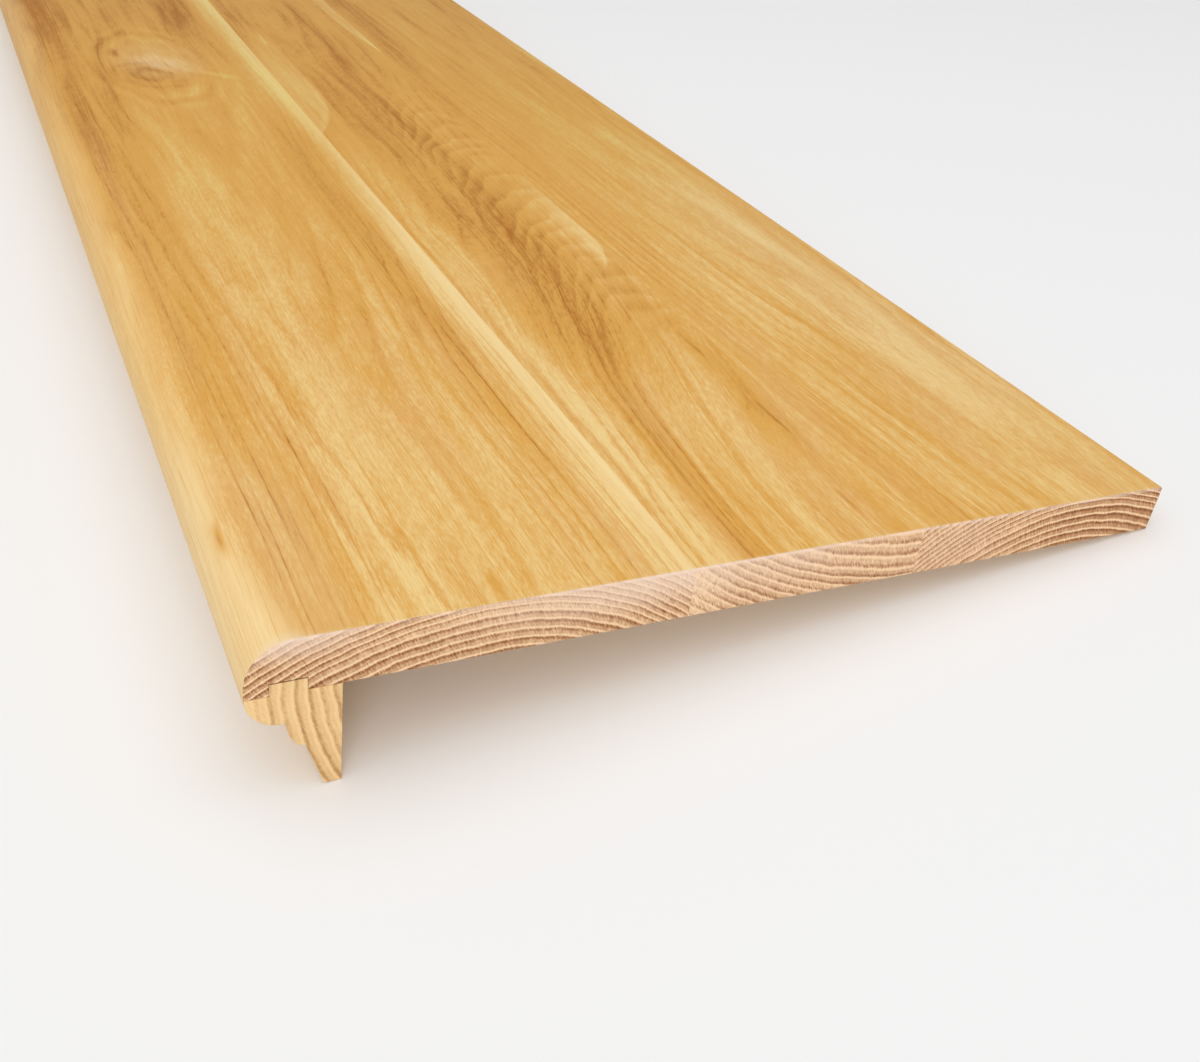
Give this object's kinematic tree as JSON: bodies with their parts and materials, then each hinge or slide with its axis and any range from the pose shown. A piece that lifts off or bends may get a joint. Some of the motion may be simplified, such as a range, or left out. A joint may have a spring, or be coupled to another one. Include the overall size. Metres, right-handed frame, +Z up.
{
  "type": "stair tread",
  "caption": "Edge-glued hardwood stair tread with a rounded nose and a stepped moulding tongued into a groove under it, to step on.",
  "frame": {"origin": "on the floor, under the middle of the tread's box, as it lies on its moulding's foot and its rear bottom edge", "axes": "+X along the tread's length, +Y from the nose to the back edge along the floor, +Z up; the walking surface leans back about 6.7 degrees from level"},
  "size_m": [1.0668, 0.292, 0.0487],
  "materials": {
    "front_stave_wood": "clear satin coat on the top and nose, raw sawn end grain",
    "middle_stave_wood": "clear satin coat on the top, raw sawn end grain",
    "back_stave_wood": "clear satin coat on the top, raw sawn end grain",
    "moulding_wood": "planed, pale sapwood"
  },
  "bodies": {
    "root": {"front_stave": "front_stave_wood", "middle_stave": "middle_stave_wood", "back_stave": "back_stave_wood", "nosing_moulding": "moulding_wood"}
  },
  "joints": []
}
